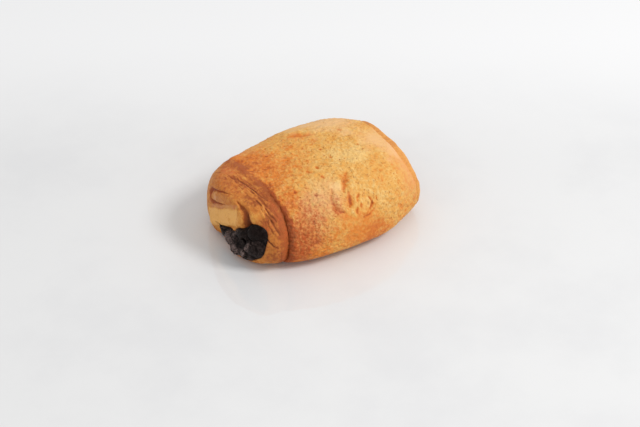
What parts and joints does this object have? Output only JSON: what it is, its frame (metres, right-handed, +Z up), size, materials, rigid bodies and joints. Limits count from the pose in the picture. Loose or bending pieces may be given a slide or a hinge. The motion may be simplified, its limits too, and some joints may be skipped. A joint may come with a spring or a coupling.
{
  "type": "pain au chocolat",
  "caption": "Rolled loaf-shaped pastry with a browned crust, its layers showing at the ends round a dark chocolate filling.",
  "frame": {"origin": "middle of the whole roll's footprint, on the surface that it rests on", "axes": "+X along the roll, from the end whose inner layers stand out of the wrap to the plainer end; +Z up; +Y across"},
  "size_m": [0.1118, 0.0914, 0.0411],
  "materials": {
    "crust": "baked golden crust, satin, finely pitted, browner at the rims and along the foot",
    "chocolate": "near-black set chocolate, lumpy, half gloss with dull greyish bloom"
  },
  "bodies": {
    "root": {"dough": "crust", "chocolate": "chocolate"}
  },
  "joints": []
}
